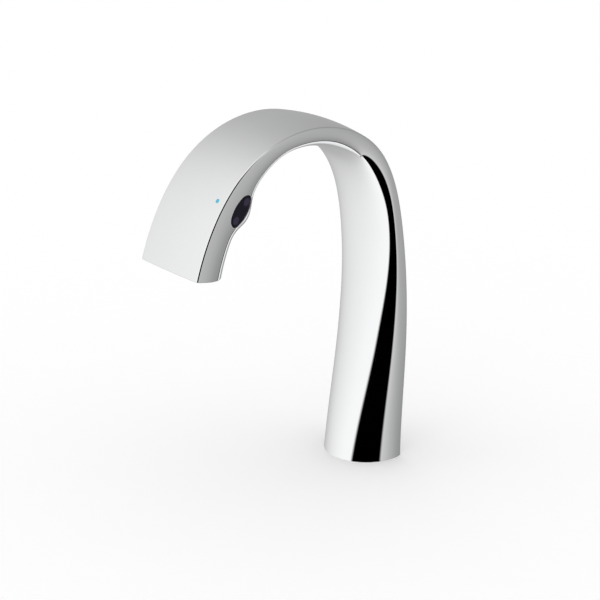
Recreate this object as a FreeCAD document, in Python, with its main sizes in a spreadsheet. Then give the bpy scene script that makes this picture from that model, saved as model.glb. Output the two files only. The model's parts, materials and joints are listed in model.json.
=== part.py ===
import FreeCAD, Part
import Sketcher
import math
import os

from FreeCAD import Placement, Rotation, Vector

# Deck-mounted sensor tap: a hollow cast ribbon spout that arches forward, with an
# oval sensor window in the side of its nose, a hidden aerator under the tip and a
# threaded shank below the deck.
# Frame: millimetres, +Z up, spout forward along -Y, +X on the window's side,
# origin on the shank's axis in the plane of the deck.

doc = FreeCAD.newDocument("SensorTap")


# ---------------------------------------------------------------- driving sizes

SIZES = {
    # Outer edge line of the ribbon, seen from the side (Y forward is negative)
    "base_back": 17.3,
    "waist_back": 20.3,
    "waist_height": 76.0,
    "shoulder_back": 15.8,
    "shoulder_height": 148.4,
    "knee_front": 6.1,
    "knee_height": 204.9,
    "crown_front": 51.0,
    "crown_height": 224.0,
    "brow_front": 101.4,
    "brow_height": 209.2,
    "tip_front": 139.8,
    "tip_height": 148.6,
    "tip_lean": 16.3,
    "outlet_tilt": 6.0,
    # Ribbon
    "half_width_base": 24.7,
    "half_width_tip": 27.5,
    "belly_base": 1.3,
    "belly": 0.2,
    "edge_chamfer": 0.8,
    "wall": 2.2,
    "swell": 7.5,
    "swell_place": 0.87,
    "swell_length": 13.0,
    "swell_power": 2.3,
    "tilt_start": 0.86,
    # Sensor, measured from the surface of the swell at the window's centre
    "window_depth": 17.0,
    "window_half_length": 10.2,
    "window_half_height": 7.1,
    "window_end_radius": 5.4,
    "window_gap": 0.15,
    "window_pad": 5.0,
    "pad_margin": 3.0,
    "flange_margin": 1.2,
    "flange_thickness": 1.2,
    "gasket_thickness": 0.5,
    "housing_margin": 2.2,
    "housing_depth": 13.0,
    "cover_thickness": 1.5,
    "saddle_length": 9.0,
    "saddle_height": 4.2,
    "board_depth": 11.6,
    "board_thickness": 1.2,
    "board_margin": 1.1,
    "board_length": 18.0,
    "board_width": 9.0,
    "diode_radius": 2.5,
    "diode_spacing": 12.4,
    "diode_rim": 0.35,
    "diode_front": 7.2,
    "ear_offset": 4.4,
    "ear_radius": 2.6,
    "ear_thickness": 2.5,
    "sensor_screw_radius": 1.1,
    "sensor_screw_length": 4.2,
    "sensor_head_radius": 1.8,
    "sensor_head_height": 1.4,
    "light_radius": 1.25,
    "light_side": 21.0,
    "light_length": 4.0,
    "status_led_half": 1.5,
    "status_led_height": 1.4,
    # Outlet, measured inward from the plane of the outlet
    "outlet_plate": 4.0,
    "outlet_centre": 15.5,
    "outlet_gap": 0.15,
    "boss_radius": 10.0,
    "boss_depth": 11.5,
    "neck_radius": 5.2,
    "neck_depth": 19.0,
    "aerator_radius": 8.25,
    "aerator_depth": 8.5,
    "aerator_bore_depth": 10.0,
    "aerator_lip": 2.6,
    "straightener_height": 2.8,
    "straightener_cell": 2.6,
    "straightener_web": 0.5,
    "screen_height": 0.6,
    "regulator_height": 2.4,
    "regulator_hole": 1.6,
    "aerator_recess": 0.6,
    "aerator_wall": 1.0,
    "outlet_screw_side": 19.5,
    "outlet_screw_shift": 4.0,
    "outlet_screw_radius": 1.5,
    "outlet_screw_length": 10.0,
    "outlet_head_radius": 2.9,
    "outlet_head_depth": 1.8,
    "outlet_lug_radius": 3.6,
    "outlet_lug_length": 9.0,
    # Water tube and sensor lead
    "tube_radius": 3.0,
    "tube_bore": 2.0,
    "tube_side": 4.0,
    "tube_stop": 3.0,
    "tube_seal_height": 1.4,
    "tube_seal_width": 1.1,
    "lead_radius": 1.5,
    "lead_side": 5.2,
    "tube_straight": 3.0,
    "lead_straight": 3.0,
    "entry_height": 32.0,
    # Foot
    "flange_base": 2.0,
    "flange_height": 6.0,
    "foot_gap": 0.15,
    "foot_lug_side": 18.0,
    "foot_lug_back": 4.0,
    "foot_lug_height": 13.0,
    "foot_lug_half": 4.2,
    "foot_screw_radius": 2.0,
    "foot_screw_length": 14.0,
    "foot_head_radius": 3.5,
    "foot_head_height": 4.0,
    "shank_radius": 12.0,
    "shank_bore": 9.25,
    "shank_length": 75.0,
    "plug_depth": 12.0,
    "plug_flange": 2.0,
    "plug_flange_radius": 11.4,
    "grommet_radius": 3.0,
    "grommet_collar": 3.8,
    "grommet_lip": 1.5,
    "shank_chamfer": 1.0,
    "stem_radius": 4.0,
    "stem_length": 28.0,
    "stem_collar_radius": 5.0,
    "stem_collar": 2.5,
    "stem_socket": 12.5,
    # Fixings below the deck
    "deck_thickness": 20.0,
    "washer_radius": 21.0,
    "washer_gap": 0.4,
    "rubber_thickness": 3.0,
    "steel_thickness": 2.0,
    "nut_across_flats": 34.0,
    "nut_height": 8.0,
    "nut_collar_radius": 18.5,
    "nut_collar_height": 1.6,
    "thread_gap": 0.06,
    # General
    "small_gap": 0.3,
    "slip_gap": 0.05,
}

# Laws along the path from foot to tip: the share of the path at each station, and the
# depth of the ribbon, the height of its straight sides, the fullness of its rounded
# back (2 is an ellipse, more is squarer) and the crown of its outer face there.
STATIONS = ("foot", "column", "knee", "shoulder", "top", "brow", "nose", "tip")
LAWS = {
    "share": (0.0, 0.20, 0.42, 0.52, 0.62, 0.72, 0.86, 1.0),
    "depth": (34.3, 22.8, 12.7, 14.0, 15.0, 13.9, 23.9, 28.6),
    "side": (8.3, 7.0, 5.0, 3.0, 3.0, 3.0, 6.0, 6.0),
    "fullness": (2.0, 2.15, 2.2, 2.6, 2.35, 2.8, 2.4, 2.2),
    "crown": (0.6, 0.6, 1.0, 1.5, 2.0, 1.0, 0.8, 0.8),
}
SECTIONS = 32
GATHER = 0.85  # below 1, the sections stand closer together in the arch than in the column
CAVITY_ANGLES = (22, 52)  # where the cast cavity's outline has its corners, in degrees

sheet = doc.addObject("Spreadsheet::Sheet", "Sizes")
rows = dict(SIZES)
for law, values in LAWS.items():
    for station, value in zip(STATIONS, values):
        rows[law + "_" + station] = value
for row, (alias, value) in enumerate(rows.items(), start=1):
    sheet.set("A%d" % row, alias)
    sheet.set("B%d" % row, str(value))
    sheet.setAlias("B%d" % row, alias)
doc.recompute()


class Size:
    """A length with its value now and the expression that binds a feature to it."""

    def __init__(self, text, value):
        self.text = text
        self.value = value

    def _join(self, other, sign, value):
        text = other.text if isinstance(other, Size) else repr(float(other))
        return Size("(%s %s %s)" % (self.text, sign, text), value)

    def __add__(self, other):
        return self._join(other, "+", self.value + number(other))

    def __sub__(self, other):
        return self._join(other, "-", self.value - number(other))

    def __mul__(self, other):
        return self._join(other, "*", self.value * number(other))

    def __truediv__(self, other):
        return self._join(other, "/", self.value / number(other))

    def __neg__(self):
        return Size("(-1 * %s)" % self.text, -self.value)


def number(item):
    return item.value if isinstance(item, Size) else float(item)


def size(alias):
    """A size of the sheet, for binding."""
    return Size("Sizes." + alias, float(sheet.get(alias)))


def val(alias):
    """A size of the sheet, as a plain number."""
    return float(sheet.get(alias))


ZERO = Size("0", 0.0)

COS_30 = math.cos(math.radians(30))
TAN_30 = math.tan(math.radians(30))
# Corners of a hexagon whose flats stand one unit from its middle, and the places of
# seven such cells in a honeycomb as steps along two directions
HEXAGON = ((2 * TAN_30, 0), (TAN_30, 1), (-TAN_30, 1), (-2 * TAN_30, 0), (-TAN_30, -1), (TAN_30, -1))
CELLS = ((0, 0), (1, 0), (0, 1), (-1, 1), (-1, 0), (0, -1), (1, -1))


# ---------------------------------------------------------------- PartDesign helpers

PLANE_OF_ROLE = {"XY": "XY_Plane", "XZ": "XZ_Plane"}


def new_body(label):
    body = doc.addObject("PartDesign::Body", label)
    body.Label = label
    return body


def new_sketch(body, name, role):
    sketch = body.newObject("Sketcher::SketchObject", name)
    planes = [item for item in body.Origin.OriginFeatures if item.Role == PLANE_OF_ROLE[role]]
    sketch.AttachmentSupport = [(planes[0], "")]
    sketch.MapMode = "FlatFace"
    return sketch


def bind(sketch, kind, reference, expression):
    """Add one dimension to a sketch and bind it to the sheet."""
    index = sketch.addConstraint(Sketcher.Constraint(kind, *reference, expression.value))
    sketch.setExpression("Constraints[%d]" % index, expression.text)


def draw_outline(sketch, corners):
    """Closed outline through corners given as pairs of sizes."""
    first = sketch.GeometryCount
    count = len(corners)
    for index, (across, up) in enumerate(corners):
        after = corners[(index + 1) % count]
        start = Vector(across.value, up.value, 0)
        end = Vector(after[0].value, after[1].value, 0)
        sketch.addGeometry(Part.LineSegment(start, end), False)
    for index in range(count):
        line = first + index
        sketch.addConstraint(Sketcher.Constraint("Coincident", line, 2, first + (index + 1) % count, 1))
    for index, (across, up) in enumerate(corners):
        line = first + index
        for kind, place in (("DistanceX", across), ("DistanceY", up)):
            if place is ZERO:
                on_axis = -2 if kind == "DistanceX" else -1
                sketch.addConstraint(Sketcher.Constraint("PointOnObject", line, 1, on_axis))
            else:
                bind(sketch, kind, (-1, 1, line, 1), place)


def draw_circle(sketch, across, up, radius):
    centre = Vector(across.value, up.value, 0)
    circle = sketch.addGeometry(Part.Circle(centre, Vector(0, 0, 1), radius.value), False)
    for kind, place in (("DistanceX", across), ("DistanceY", up)):
        if place is ZERO:
            on_axis = -2 if kind == "DistanceX" else -1
            sketch.addConstraint(Sketcher.Constraint("PointOnObject", circle, 3, on_axis))
        else:
            bind(sketch, kind, (-1, 1, circle, 3), place)
    bind(sketch, "Radius", (circle,), radius)


def turned(label, outline):
    """A body turned about Z from an outline of (radius, height) corners."""
    body = new_body(label)
    sketch = new_sketch(body, label + "_profile", "XZ")
    draw_outline(sketch, outline)
    feature = body.newObject("PartDesign::Revolution", label + "_turn")
    feature.Profile = sketch
    feature.ReferenceAxis = (sketch, ["V_Axis"])
    feature.Angle = 360.0
    return body


def ring_outline(inner, outer, low, high):
    return [(inner, low), (outer, low), (outer, high), (inner, high)]


def cut_through(body, name, sketch):
    """Cut a sketch's outlines along Z through the body, upwards and downwards."""
    doc.recompute()
    before = body.Shape.Volume
    pocket = body.newObject("PartDesign::Pocket", name)
    pocket.Profile = sketch
    pocket.Type = "ThroughAll"
    pocket.Midplane = True
    doc.recompute()
    if not body.Shape.Volume < before:
        raise ValueError(name + " cuts nothing")


def drilled(body, name, circles):
    """Cut round holes along Z through the body."""
    sketch = new_sketch(body, name + "_circles", "XY")
    for across, up, radius in circles:
        draw_circle(sketch, across, up, radius)
    cut_through(body, name, sketch)


def plain(label, shape):
    """A part whose shape comes from the freeform surfaces."""
    part = doc.addObject("Part::Feature", label)
    part.Label = label
    part.Shape = shape
    return part


# ---------------------------------------------------------------- path and sections

def slopes(xs, ys):
    """Slopes of the monotone cubic through the points."""
    steps = [(ys[i + 1] - ys[i]) / (xs[i + 1] - xs[i]) for i in range(len(xs) - 1)]
    inner = []
    for left, right in zip(steps, steps[1:]):
        inner.append(0.0 if left * right <= 0 else 2 * left * right / (left + right))
    return [steps[0]] + inner + [steps[-1]]


def law_at(law, share):
    """Value of a law at a share of the path, smooth between the stations."""
    xs = [val("share_" + station) for station in STATIONS]
    ys = [val(law + "_" + station) for station in STATIONS]
    rates = slopes(xs, ys)
    index = max(i for i in range(len(xs) - 1) if share >= xs[i] or i == 0)
    span = xs[index + 1] - xs[index]
    k = (share - xs[index]) / span
    rise = ys[index + 1] - ys[index]
    bend = k * k * (3 - 2 * k)
    lift = k * (1 - k) ** 2 * rates[index] - k * k * (1 - k) * rates[index + 1]
    return ys[index] + rise * bend + lift * span


lean = math.radians(val("tip_lean"))
edge_points = [
    Vector(0, val("base_back"), 0),
    Vector(0, val("waist_back"), val("waist_height")),
    Vector(0, val("shoulder_back"), val("shoulder_height")),
    Vector(0, -val("knee_front"), val("knee_height")),
    Vector(0, -val("crown_front"), val("crown_height")),
    Vector(0, -val("brow_front"), val("brow_height")),
    Vector(0, -val("tip_front"), val("tip_height")),
]
edge_curve = Part.BSplineCurve()
edge_curve.interpolate(
    Points=edge_points,
    InitialTangent=Vector(0, 0, 1),
    FinalTangent=Vector(0, -math.sin(lean), -math.cos(lean)),
)
edge_line = edge_curve.toShape()
SIDE = Vector(1, 0, 0)


class Station:
    """Frame and section of the ribbon at a share of its path, drawn in by an inset."""

    def __init__(self, share, inset=0.0):
        parameter = edge_line.getParameterByLength(share * edge_line.Length)
        self.point = edge_line.valueAt(parameter)
        along = edge_line.tangentAt(parameter)
        turn = max(0.0, (share - val("tilt_start")) / (1 - val("tilt_start")))
        tilt = val("outlet_tilt") * turn * turn * (3 - 2 * turn)
        self.along = Rotation(SIDE, tilt).multVec(along)
        self.inward = SIDE.cross(self.along)
        away = (share - val("swell_place")) * edge_line.Length / val("swell_length")
        swell = val("swell") * math.exp(-abs(away) ** val("swell_power"))
        width = val("half_width_base") + (val("half_width_tip") - val("half_width_base")) * share
        near_foot = max(0.0, 1 - share / val("share_knee")) ** 2
        belly = val("belly") + (val("belly_base") - val("belly")) * near_foot
        self.half = width - inset
        self.widest = width + belly - inset
        self.low = inset
        self.high = law_at("depth", share) + swell - inset
        self.knee = self.low + max(law_at("side", share) - inset, val("edge_chamfer") * 2)
        self.fullness = law_at("fullness", share)
        self.crown = law_at("crown", share)

    def place(self, across, depth):
        """Point at a distance from the middle plane and a depth from the edge line."""
        return self.point + SIDE * across + self.inward * depth

    def reach(self, depth):
        """Half width of the rounded side at a depth past the straight sides."""
        rise = (depth - self.knee) / (self.high - self.knee)
        return self.widest * (1 - rise ** self.fullness) ** (1 / self.fullness)

    def middle(self):
        """Depth of the middle of the section."""
        return (self.low + self.high) / 2

    def cavity_wire(self):
        """Closed cornered outline of the cavity or of a piece that fits it."""
        half = [(self.widest, self.low), (self.widest, self.knee)]
        power = 2 / self.fullness
        for degrees in CAVITY_ANGLES:
            angle = math.radians(degrees)
            across = self.widest * math.cos(angle) ** power
            half.append((across, self.knee + (self.high - self.knee) * math.sin(angle) ** power))
        outline = half + [(0.0, self.high)] + [(-across, depth) for across, depth in reversed(half)]
        corners = [self.place(*spot) for spot in outline]
        return Part.makePolygon(corners + corners[:1])

    def curve(self, spots):
        """Bezier edge with its poles at pairs of half width and depth."""
        bezier = Part.BezierCurve()
        bezier.setPoles([self.place(*spot) for spot in spots])
        return bezier.toShape()

    def wire(self):
        """Closed outline: crowned outer face, narrow chamfers, sides and rounded back."""
        flat = self.half - val("edge_chamfer")
        shoulder = self.low + val("edge_chamfer")
        pull = (8 * 0.5 ** (1 / self.fullness) - 4) / 3
        face = [(-flat, self.low), (0, self.low - 2 * self.crown), (flat, self.low)]
        right = [
            [(flat, self.low), (self.half, shoulder)],
            [(self.half, shoulder), (self.widest, (shoulder + self.knee) / 2), (self.widest, self.knee)],
            [(self.widest, self.knee), (self.widest, self.knee + pull * (self.high - self.knee)),
             (pull * self.widest, self.high), (0, self.high)],
        ]
        left = [[(-across, depth) for across, depth in reversed(spots)] for spots in reversed(right)]
        return Part.Wire([self.curve(spots) for spots in [face] + right + left])


SHARES = [(index / SECTIONS) ** GATHER for index in range(SECTIONS + 1)]


def skin():
    """Solid of the ribbon as a loft through its sections."""
    return Part.makeLoft([Station(share).wire() for share in SHARES], True, True)


def core(inset):
    """Solid of the hollow inside the ribbon, or of what fits it with a larger inset."""
    return Part.makeLoft([Station(share, inset).cavity_wire() for share in SHARES], True, True)


def frame_placement(origin, x_axis, z_axis):
    """Placement whose Z points along z_axis and whose X points along x_axis."""
    return Placement(origin, Rotation(x_axis, z_axis.cross(x_axis), z_axis, "ZXY"))


def cylinder(frame, radius, low, high, across=0.0, up=0.0):
    """Round solid along the local Z of a frame."""
    solid = Part.makeCylinder(radius, high - low, Vector(across, up, low))
    solid.Placement = frame
    return solid


def block(frame, low, high):
    """Box between two corners in a frame."""
    spans = [b - a for a, b in zip(low, high)]
    solid = Part.makeBox(*spans, Vector(*low))
    solid.Placement = frame
    return solid


def slab(frame, low, high):
    return block(frame, (-FAR, -FAR, low), (FAR, FAR, high))


def joined(shapes):
    solid = shapes[0]
    for shape in shapes[1:]:
        solid = solid.fuse(shape)
    return solid


def less(solid, cuts):
    for cut in cuts:
        solid = solid.cut(cut)
    return solid


FAR = 100.0
THROUGH = 12.0
SIDES = (-1, 1)
DECK = Placement()

outer_skin = skin()
cavity = core(val("wall"))


# ---------------------------------------------------------------- local frames

# Sensor: Z out of the window, X along the path towards the tip
nose = Station(val("swell_place"))
probe = val("slip_gap")
drop = nose.reach(val("window_depth") - probe) - nose.reach(val("window_depth") + probe)
window_out = (SIDE + nose.inward * (drop / (2 * probe))).normalize()
window_centre = nose.place(nose.reach(val("window_depth")), val("window_depth"))
sensor_frame = frame_placement(window_centre, nose.along, window_out)

# Outlet: Z along the jet
tip = Station(1.0)
outlet_frame = frame_placement(tip.place(0, val("outlet_centre")), SIDE, tip.along)

# Status light: Z into the ribbon
light_frame = frame_placement(nose.place(val("light_side"), 0), nose.along, nose.inward)

ear_place = val("window_half_length") + val("ear_offset")
flange_face = -val("window_pad") - val("gasket_thickness")
flange_back = flange_face - val("flange_thickness")
board_face = -val("board_depth") + val("board_thickness")
flange_top = val("flange_base") + val("flange_height")
shank_end = -val("shank_length")


def window_oval(margin, low, high):
    """Oval of four arcs in the sensor's frame: the window's outline grown by a margin."""
    length = val("window_half_length")
    height = val("window_half_height")
    end = val("window_end_radius")
    run = length - end
    flat = (run * run + height * height - end * end) / (2 * (height - end))
    toward = Vector(run, flat - height, 0).normalize() * (end + margin)
    across = run + toward.x
    tops = [Vector(across, toward.y, low), Vector(across, -toward.y, low),
            Vector(-across, -toward.y, low), Vector(-across, toward.y, low)]
    middles = [Vector(length + margin, 0, low), Vector(0, -height - margin, low),
               Vector(-length - margin, 0, low), Vector(0, height + margin, low)]
    arcs = [Part.Arc(tops[i], middles[i], tops[(i + 1) % 4]).toShape() for i in range(4)]
    solid = Part.Face(Part.Wire(arcs)).extrude(Vector(0, 0, high - low))
    solid.Placement = sensor_frame
    return solid


# ---------------------------------------------------------------- spout body

def make_spout_body():
    pad = -val("window_pad")
    ribs = [window_oval(val("pad_margin"), pad, THROUGH)]
    room = val("small_gap")
    cuts = [window_oval(0, -THROUGH, THROUGH), window_oval(val("housing_margin") + room, -2 * THROUGH, pad)]
    for side in SIDES:
        ribs.append(cylinder(sensor_frame, val("ear_radius") + room, pad, THROUGH, side * ear_place))
        cuts.append(cylinder(sensor_frame, val("ear_radius") + room, -2 * THROUGH, pad, side * ear_place))
        cuts.append(cylinder(sensor_frame, val("sensor_screw_radius"), pad - 1,
                             pad - val("ear_thickness") + val("sensor_screw_length"), side * ear_place))
        lug_start = val("foot_lug_side") - val("foot_lug_half")
        lug_ends = sorted((side * lug_start, side * (lug_start + val("half_width_base"))))
        back = val("foot_lug_back")
        ribs.append(block(DECK, (lug_ends[0], back - val("foot_lug_half"), flange_top),
                          (lug_ends[1], back + val("foot_lug_half"), flange_top + val("foot_lug_height"))))
        cuts.append(cylinder(DECK, val("foot_screw_radius"), 0, val("flange_base") + val("foot_screw_length") + 1,
                             side * val("foot_lug_side"), back))
        post_ends = (-val("outlet_plate") - val("outlet_lug_length"), -val("outlet_plate"))
        place = side * val("outlet_screw_side")
        shift = val("outlet_screw_shift")
        ribs.append(cylinder(outlet_frame, val("outlet_lug_radius"), *post_ends, place, shift))
        rib_ends = sorted((place, side * (val("outlet_screw_side") + val("half_width_tip"))))
        ribs.append(block(outlet_frame, (rib_ends[0], shift - val("wall"), post_ends[0]),
                          (rib_ends[1], shift + val("wall"), post_ends[1])))
        cuts.append(cylinder(outlet_frame, val("outlet_screw_radius"),
                             -val("outlet_screw_length") - 1, 0, place, shift))
    cuts.append(cylinder(light_frame, val("light_radius") + val("slip_gap"), -THROUGH, THROUGH / 2))
    shape = outer_skin.cut(cavity)
    shape = joined([shape] + [rib.common(outer_skin) for rib in ribs])
    return plain("spout_body", less(shape, cuts))


# ---------------------------------------------------------------- sensor

def make_window():
    plug = window_oval(-val("window_gap"), flange_back, THROUGH).common(outer_skin)
    flange = window_oval(val("flange_margin"), flange_back, flange_face)
    plain("sensor_window", plug.fuse(flange))
    seal = window_oval(val("flange_margin"), flange_face, -val("window_pad"))
    plain("window_gasket", seal.cut(window_oval(val("slip_gap"), flange_face - 1, THROUGH)))


def make_housing():
    pad = -val("window_pad")
    margin = val("housing_margin")
    ears = [cylinder(sensor_frame, val("ear_radius"), pad - val("ear_thickness"), pad, side * ear_place)
            for side in SIDES]
    shape = joined([window_oval(margin, -val("housing_depth"), pad)] + ears)
    cuts = [
        window_oval(val("flange_margin") + val("slip_gap"), flange_back, THROUGH),
        window_oval(val("board_margin"), -val("housing_depth") - 1, board_face),
    ]
    for side in SIDES:
        cuts.append(cylinder(sensor_frame, val("diode_radius") + 2 * val("diode_rim") + val("slip_gap"),
                             board_face - 1, flange_back + 1, side * val("diode_spacing") / 2))
        cuts.append(cylinder(sensor_frame, val("sensor_screw_radius"), -THROUGH, THROUGH, side * ear_place))
    cuts.append(led_block(val("small_gap")))
    plain("sensor_housing", less(shape, cuts))

    back = -val("housing_depth") - val("cover_thickness")
    cover = window_oval(margin, back, -val("housing_depth"))
    half = val("lead_radius") + val("wall") / 2
    saddle = block(sensor_frame, (-val("window_half_length"), -half, back - val("saddle_height")),
                   (-val("window_half_length") + val("saddle_length"), half, back))
    plain("sensor_cover", less(cover.fuse(saddle), [lead_sleeve(half)]))


def lead_depth():
    """Local height of the lead's axis where it enters the cover."""
    return -val("housing_depth") - val("cover_thickness") - val("saddle_height") / 2


def lead_sleeve(wall):
    """Blind hole for the lead in the cover's saddle."""
    start = Vector(-val("window_half_length") - 1, 0, lead_depth())
    hole = Part.makeCylinder(val("lead_radius") + val("slip_gap"), val("saddle_length") - wall + 1,
                             start, Vector(1, 0, 0))
    hole.Placement = sensor_frame
    return hole


def make_diodes():
    rim = size("diode_rim")
    radius = size("diode_radius")
    tall = size("board_depth") - size("board_thickness") - size("diode_front")
    dome = radius / 2
    outline = [(ZERO, ZERO), (radius + rim, ZERO), (radius + rim, rim * 2), (radius, rim * 2),
               (radius, tall - dome), (dome, tall), (ZERO, tall)]
    for label, side in (("emitter_diode", -1), ("receiver_diode", 1)):
        body = turned(label, outline)
        seat = Placement(Vector(side * val("diode_spacing") / 2, 0, board_face), Rotation())
        body.Placement = sensor_frame.multiply(seat)


def make_board():
    body = new_body("sensor_board")
    sketch = new_sketch(body, "sensor_board_outline", "XY")
    across = size("board_length") / 2
    up = size("board_width") / 2
    draw_outline(sketch, [(-across, -up), (across, -up), (across, up), (-across, up)])
    pad = body.newObject("PartDesign::Pad", "sensor_board_pad")
    pad.Profile = sketch
    pad.setExpression("Length", size("board_thickness").text)
    seat = Placement(Vector(0, 0, -val("board_depth")), Rotation())
    body.Placement = sensor_frame.multiply(seat)


def screws(label, frame, places, low, head, shaft, shift=0.0):
    """Screws along the local Z of a frame, one on each place, heads at the low end."""
    head_radius, head_height = head
    shaft_radius, shaft_length = shaft
    neck = low + head_height
    solids = []
    for place in places:
        top = cylinder(frame, head_radius, low, neck, place, shift)
        shank = cylinder(frame, shaft_radius, neck, neck + shaft_length, place, shift)
        solids.append(top.fuse(shank).Solids[0])
    return plain(label, Part.makeCompound(solids))


def make_sensor_screws():
    head_low = -val("window_pad") - val("ear_thickness") - val("sensor_head_height")
    places = [side * ear_place for side in SIDES]
    shaft = (val("sensor_screw_radius") - val("slip_gap"), val("sensor_screw_length") - val("small_gap"))
    screws("sensor_screws", sensor_frame, places, head_low,
           (val("sensor_head_radius"), val("sensor_head_height")), shaft)


def led_block(gap):
    """The status light's square diode behind its pipe, grown by a gap."""
    half = val("status_led_half") + gap
    start = val("light_length")
    return block(light_frame, (-half, -half, start), (half, half, start + val("status_led_height") + gap))


def make_status_light():
    pipe = cylinder(light_frame, val("light_radius"), -THROUGH, val("light_length"))
    plain("status_light_pipe", pipe.common(outer_skin))
    plain("status_led", led_block(0))


# ---------------------------------------------------------------- outlet

def make_outlet_plate():
    plate = core(val("wall") + val("outlet_gap")).common(slab(outlet_frame, -val("outlet_plate"), 1))
    boss = cylinder(outlet_frame, val("boss_radius"), -val("boss_depth"), -val("outlet_plate") / 2)
    neck = cylinder(outlet_frame, val("neck_radius"), -val("neck_depth"), -val("boss_depth") / 2)
    stop = val("aerator_bore_depth") + val("tube_stop")
    groove = -(stop + val("neck_depth") + val("tube_seal_height")) / 2
    cuts = [
        cylinder(outlet_frame, val("aerator_radius") + val("slip_gap"), -val("aerator_bore_depth"), 1),
        cylinder(outlet_frame, val("tube_bore"), -stop - 1, 0),
        cylinder(outlet_frame, val("tube_radius") + val("slip_gap"), -val("neck_depth") - 1, -stop),
        cylinder(outlet_frame, val("tube_radius") + val("tube_seal_width"), groove,
                 groove + val("tube_seal_height")),
    ]
    for side in SIDES:
        place = side * val("outlet_screw_side")
        cuts.append(cylinder(outlet_frame, val("outlet_screw_radius") + val("slip_gap"),
                             -val("outlet_plate") - 1, 1, place, val("outlet_screw_shift")))
        cuts.append(cylinder(outlet_frame, val("outlet_head_radius") + val("slip_gap"),
                             -val("outlet_head_depth"), 1, place, val("outlet_screw_shift")))
    plain("outlet_plate", less(joined([plate, boss, neck]), cuts))

    seal = turned("tube_seal", ring_outline(size("tube_radius") + size("slip_gap"),
                                            size("tube_radius") + size("tube_seal_width") - size("slip_gap"),
                                            ZERO, size("tube_seal_height") - size("slip_gap")))
    seal.Placement = outlet_frame.multiply(Placement(Vector(0, 0, groove), Rotation()))

    down = outlet_frame.multiply(Placement(Vector(), Rotation(SIDE, 180)))
    places = [side * val("outlet_screw_side") for side in SIDES]
    screws("outlet_screws", down, places, 0,
           (val("outlet_head_radius"), val("outlet_head_depth")),
           (val("outlet_screw_radius") - val("slip_gap"), val("outlet_screw_length") - val("outlet_head_depth")),
           -val("outlet_screw_shift"))


def make_aerator():
    """Insert of a recessed aerator: cage, straightener, screen, regulator and seal."""
    outer = size("aerator_radius")
    inner = outer - size("aerator_wall")
    recess = size("aerator_recess")
    lip = size("aerator_lip")
    top = -size("aerator_depth")
    fit = size("slip_gap")
    shelf = -recess - size("aerator_wall")
    cage = turned("aerator_cage", [(inner, top), (outer, top), (outer, -recess), (inner - lip, -recess),
                                   (inner - lip, shelf), (inner, shelf)])
    straight_top = shelf - size("straightener_height")
    disc = turned("flow_straightener", [(ZERO, straight_top), (inner - fit, straight_top),
                                        (inner - fit, shelf), (ZERO, shelf)])
    cells = new_sketch(disc, "straightener_cells", "XY")
    flat = size("straightener_cell") / 2
    pitch = size("straightener_cell") + size("straightener_web")
    for column, row in CELLS:
        across = pitch * (column * COS_30)
        up = pitch * (row + column / 2)
        draw_outline(cells, [(across + flat * x, up + flat * y) for x, y in HEXAGON])
    cut_through(disc, "straightener_cut", cells)
    screen_top = straight_top - size("screen_height")
    screen = turned("aerator_screen", [(ZERO, screen_top), (inner - fit, screen_top),
                                       (inner - fit, straight_top), (ZERO, straight_top)])
    regulator = turned("flow_regulator", ring_outline(size("regulator_hole"), inner - fit,
                                                      screen_top - size("regulator_height"), screen_top))
    seal = turned("aerator_seal", ring_outline(inner - size("aerator_wall"), outer - fit,
                                               -size("aerator_bore_depth"), top))
    for body in (cage, disc, screen, regulator, seal):
        body.Placement = outlet_frame


# ---------------------------------------------------------------- tube and lead

def rounded_path(points):
    """Straight runs joined by tangent arcs, each as large as its two runs allow."""
    edges = []
    start = points[0]
    radii = []
    for before, corner, after in zip(points, points[1:], points[2:]):
        back = (before - corner).normalize()
        ahead = (after - corner).normalize()
        half_turn = (math.pi - back.getAngle(ahead)) / 2
        reach = 0.45 * min((before - corner).Length, (after - corner).Length)
        radii.append(reach / math.tan(half_turn))
        first = corner + back * reach
        last = corner + ahead * reach
        bulge = radii[-1] * (1 / math.cos(half_turn) - 1)
        middle = corner + (back + ahead).normalize() * bulge
        edges.append(Part.LineSegment(start, first).toShape())
        edges.append(Part.Arc(first, middle, last).toShape())
        start = last
    edges.append(Part.LineSegment(start, points[-1]).toShape())
    return Part.Wire(edges), radii


def pipe(wire, radius):
    """Round rod along a wire."""
    start = wire.Edges[0]
    circle = Part.Circle(start.valueAt(start.FirstParameter), start.tangentAt(start.FirstParameter), radius)
    return wire.makePipe(Part.Face(Part.Wire(circle.toShape())))


def inner_route(shares, start_side, end_side):
    """Points along the middle of the hollow, drifting from one side to another."""
    points = []
    run = edge_line.Length * abs(shares[1] - shares[0])
    for index, share in enumerate(shares):
        station = Station(share, val("wall"))
        parameter = edge_line.getParameterByLength(share * edge_line.Length)
        lift = run * run * edge_line.curvatureAt(parameter) / 8
        side = start_side + (end_side - start_side) * index / (len(shares) - 1)
        points.append(station.place(side, station.middle() - lift))
    return points


def make_tube():
    stop = val("aerator_bore_depth") + val("tube_stop")
    route = [outlet_frame.multVec(Vector(0, 0, -stop - val("slip_gap"))),
             outlet_frame.multVec(Vector(0, 0, -val("neck_depth") - val("tube_straight")))]
    route += inner_route(TUBE_SHARES, -val("tube_side") / 2, -val("tube_side"))
    tail = shank_end - val("plug_flange") - val("stem_socket") + val("slip_gap")
    route += [Vector(-val("tube_side"), 0, val("entry_height")), Vector(-val("tube_side"), 0, tail)]
    wire, radii = rounded_path(route)
    print("water tube radii", [round(radius) for radius in radii])
    plain("water_tube", pipe(wire, val("tube_radius")).cut(pipe(wire, val("tube_bore"))))


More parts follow.
